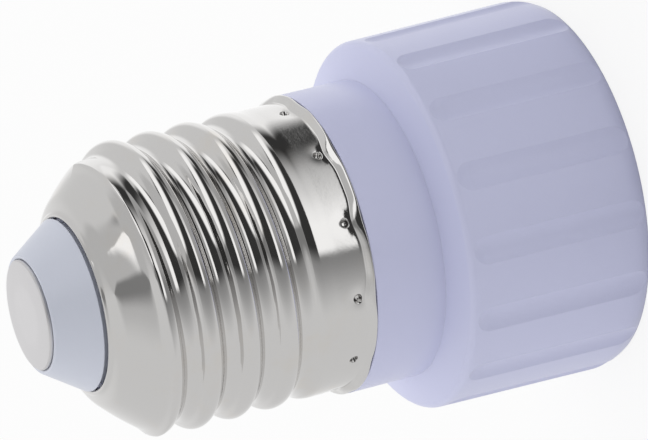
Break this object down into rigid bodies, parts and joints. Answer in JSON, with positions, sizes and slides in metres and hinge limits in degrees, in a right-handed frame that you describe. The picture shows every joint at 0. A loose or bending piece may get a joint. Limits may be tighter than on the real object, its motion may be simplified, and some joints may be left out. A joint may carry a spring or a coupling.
{
  "type": "lamp socket adapter",
  "caption": "Lamp socket adapter: a threaded metal screw cap with a nose contact on a fluted plastic collar, with a recessed twist-lock pin socket in the collar's open end.",
  "frame": {"origin": "on the axis, in the plane of the collar's open rim, which the part stands on", "axes": "+Z along the axis from the socket end to the nose contact; the side seen in the picture faces -Y; the two pin entries lie on X"},
  "size_m": [0.0342, 0.0342, 0.0525],
  "materials": {
    "moulding": "satin, cool white",
    "cap_nickel": "bright nickel plate",
    "nose_contact": "tin-plated brass, satin",
    "socket_moulding": "cool white",
    "contact_brass": "bright",
    "spring_steel": "plain",
    "tag_tin": "tin-plated brass",
    "wire_copper": "tinned copper strand",
    "live_lead": "brown insulation",
    "neutral_lead": "blue insulation",
    "sleeve": "woven glass-fibre sleeve",
    "screw_steel": "zinc-plated"
  },
  "bodies": {
    "root": {"body": "moulding", "screw_cap": "cap_nickel", "tip_contact": "nose_contact", "socket_face": "socket_moulding", "contact_block": "socket_moulding", "live_clip": "contact_brass", "neutral_clip": "contact_brass", "live_backing_spring": "spring_steel", "neutral_backing_spring": "spring_steel", "clip_rivets": "contact_brass", "live_tag": "tag_tin", "neutral_tag": "tag_tin", "tip_tag": "tag_tin", "live_wire": "wire_copper", "live_insulation": "live_lead", "neutral_wire": "wire_copper", "neutral_insulation": "neutral_lead", "crimp_sleeves": "sleeve", "face_screws": "screw_steel"}
  },
  "joints": []
}
